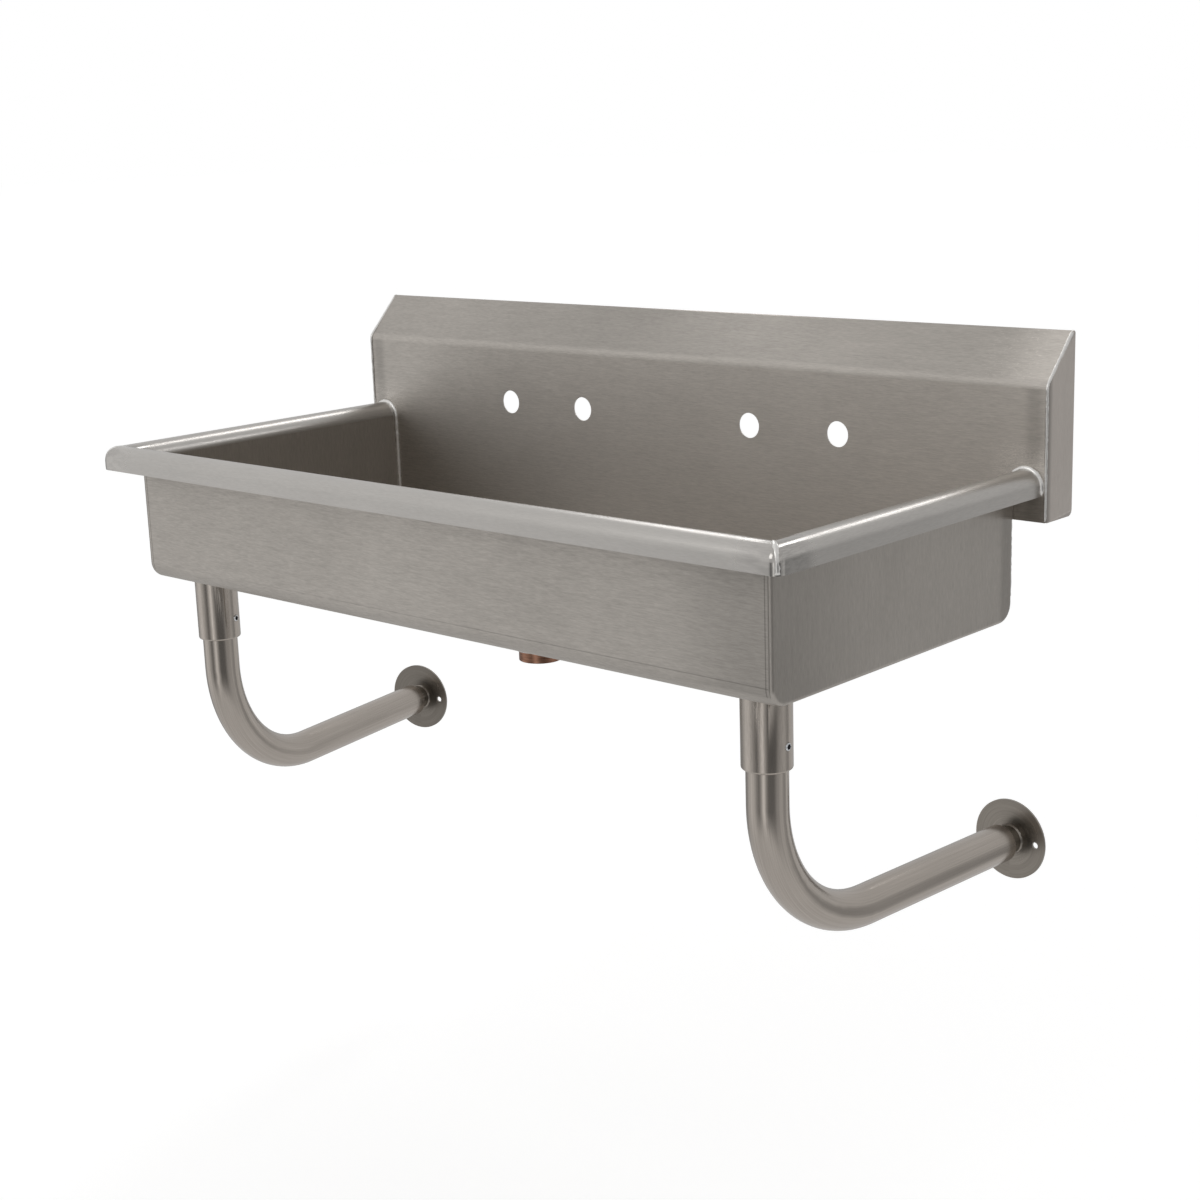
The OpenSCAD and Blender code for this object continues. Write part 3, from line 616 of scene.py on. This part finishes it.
# Painted shade: the faces in each set screw's recess are near black
recess_painted_shade = brushed_metal("screw_recess_shade", (0.07, 0.07, 0.075), (400.0,) * 3, roughness=0.60)
# The recess's faces lie this near the screw's axis
RECESS_REACH = 0.00245


def in_recess(screw, turn):
    """The test of which faces of a set screw, turned so far towards the wall, lie in its recess."""
    points = nodes[screw].data.vertices
    middle = sum((point.co for point in points), Vector()) / len(points)
    along = Vector((math.cos(math.radians(turn)), math.sin(math.radians(turn)), 0))
    return lambda centre: (centre - middle).cross(along).length < RECESS_REACH


for side, turn in (("left", 18), ("right", 0)):
    dressed(side + "_arm_socket", "sink", sleeve_finish)
    dressed(side + "_set_screw", side + "_screw", screw_finish,
            also=(recess_painted_shade, in_recess(side + "_set_screw", turn)))

# Arms: stainless tube, bent to one radius in one plane and polished along its length. They stand
# turned outwards in their sleeves.
ARM_X, ARM_REACH, ARM_Z, ARM_BEND_R = 0.418, 0.3975, -0.53986, 0.144
# Each arm's side, the sign of its x, and its turn from straight back in degrees
ARMS = (("left", -1, 11.0), ("right", 1, -4.0))


def seen_from_arm(tree, place, sign, turn):
    """A place's X, Y and Z from where an arm's two legs' axes cross, turned with the arm."""
    moved = add_node(tree, "ShaderNodeVectorMath", operation="SUBTRACT")
    fill(tree, moved.inputs, (place, (sign * ARM_X, -ARM_REACH, ARM_Z)))
    turned = add_node(tree, "ShaderNodeVectorRotate", rotation_type="Z_AXIS", Vector=moved.outputs[0],
                      Angle=-math.radians(turn))
    return add_node(tree, "ShaderNodeSeparateXYZ", Vector=turned.outputs[0]).outputs


def along_arm(sign, turn):
    """Streaks along a bent arm: across it, out from its bend's centre, and slowly along it."""
    def grain_place(tree, place):
        across, out, up = seen_from_arm(tree, place, sign, turn)
        legs = [arithmetic(tree, "MAXIMUM", arithmetic(tree, "SUBTRACT", ARM_BEND_R, leg), 0.0)
                for leg in (out, up)]
        square = arithmetic(tree, "ADD", *[times(tree, leg, leg) for leg in legs])
        from_bend = arithmetic(tree, "SUBTRACT", ARM_BEND_R, arithmetic(tree, "SQRT", square))
        path = arithmetic(tree, "SUBTRACT", out, up)
        return add_node(tree, "ShaderNodeCombineXYZ", X=across, Y=from_bend, Z=path).outputs[0]
    return grain_place


for side, sign, turn in ARMS:
    arm_finish = brushed_metal(side + "_polished_tube", TUBE_STEEL, (700.0, 700.0, 9.0), roughness=0.21,
                               spread=0.04, grain_place=along_arm(sign, turn))
    dressed(side + "_arm_tube", side + "_arm", arm_finish)

# Foot inserts and stems: turned steel, zinc plated, inside the end of each arm.
plated_finish = brushed_metal("dull_plate", (0.42, 0.42, 0.42), (400.0,) * 3, roughness=0.32)
for side in ("left", "right"):
    dressed(side + "_tube_insert", side + "_arm", plated_finish)
    dressed(side + "_foot_stem", side + "_stem", plated_finish)

# Wall feet: a stub and a round flange of turned stainless steel, welded together. The turning left
# fine rings round the flange's axis.
# The feet's steel is darker than the tubes': painted shade on the feet; their rings are real turning marks
FOOT_SHADED_STEEL, RING_GRAIN, RING_SWEEP = (0.30, 0.272, 0.24), (1100.0, 1100.0, 26.0), 0.02


def turned_rings(sign, turn):
    """Rings round the foot's axis, a little uneven along each ring."""
    def grain_place(tree, place):
        across, out, up = seen_from_arm(tree, place, sign, turn)
        square = arithmetic(tree, "ADD", times(tree, across, across), times(tree, up, up))
        swept = times(tree, arithmetic(tree, "ARCTAN2", across, up), RING_SWEEP)
        return add_node(tree, "ShaderNodeCombineXYZ", X=arithmetic(tree, "SQRT", square), Y=out,
                        Z=swept).outputs[0]
    return grain_place


for side, sign, turn in ARMS:
    foot_finish = brushed_metal(side + "_turned_foot", FOOT_SHADED_STEEL, RING_GRAIN, roughness=0.30,
                                bump=0.5, grain_place=turned_rings(sign, turn), contrast=0.2)
    dressed(side + "_flange_stub", side + "_stem", foot_finish)
    dressed(side + "_flange_disc", side + "_foot", foot_finish)

# Drain: a polished cast body on the floor, a perforated basket on its ledge, and a post with a knob
# that lifts the rubber stopper.
drain_finish = brushed_metal("polished_drain", (0.62, 0.61, 0.60), (300.0,) * 3, roughness=0.18)
dressed("drain_body", "sink", drain_finish)
dressed("basket_cup", "basket", drain_finish)
dressed("basket_post", "plug", drain_finish)

# Seals: a rubber stopper on the basket's post, a rubber gasket under the floor, and a pressed fibre
# ring on which the locknut turns.
MOTTLE_LOW, MOTTLE_HIGH, GLOSS_SPREAD = 0.35, 0.68, 0.06


def dull_material(name, dark, light, roughness, fineness):
    """A dull surface, mottled between two colours."""
    material = bpy.data.materials.new(name)
    material.use_nodes = True
    tree = material.node_tree
    shader = tree.nodes["Principled BSDF"]
    place = add_node(tree, "ShaderNodeTexCoord").outputs["Object"]
    mottle = add_node(tree, "ShaderNodeTexNoise", Vector=place, Scale=fineness, Detail=4.0, Roughness=0.6)
    shade = add_node(tree, "ShaderNodeValToRGB", Fac=mottle.outputs["Fac"])
    low, high = shade.color_ramp.elements
    low.position, high.position = MOTTLE_LOW, MOTTLE_HIGH
    low.color, high.color = (*dark, 1.0), (*light, 1.0)
    tree.links.new(shade.outputs["Color"], shader.inputs["Base Color"])
    rough = add_node(tree, "ShaderNodeMapRange", Value=mottle.outputs["Fac"], From_Min=0.3, From_Max=0.7,
                     To_Min=roughness + GLOSS_SPREAD, To_Max=roughness - GLOSS_SPREAD)
    tree.links.new(rough.outputs[0], shader.inputs["Roughness"])
    relief = add_node(tree, "ShaderNodeBump", Height=mottle.outputs["Fac"], Strength=0.15,
                      Distance=RELIEF_DEPTH)
    tree.links.new(relief.outputs[0], shader.inputs["Normal"])
    return material


rubber_finish = dull_material("black_rubber", (0.020, 0.020, 0.021), (0.040, 0.040, 0.041), 0.62, 260.0)
fibre_finish = dull_material("pressed_fibre", (0.34, 0.24, 0.15), (0.46, 0.34, 0.22), 0.85, 420.0)
dressed("basket_stopper", "plug", rubber_finish)
dressed("drain_gasket", "sink", rubber_finish)
dressed("drain_friction_ring", "sink", fibre_finish)

# Locknut and outlet: a cast brass nut with lugs clamps the drain, and a copper coloured nipple is
# screwed into its boss.
brass_finish = brushed_metal("cast_brass", (0.50, 0.38, 0.20), (300.0,) * 3, roughness=0.4)
dressed("drain_locknut", "sink", brass_finish)
copper_finish = brushed_metal("dull_copper", (0.38, 0.20, 0.135), (60.0, 60.0, 700.0), roughness=0.30,
                              contrast=0.55)
dressed("outlet_nipple", "sink", copper_finish)
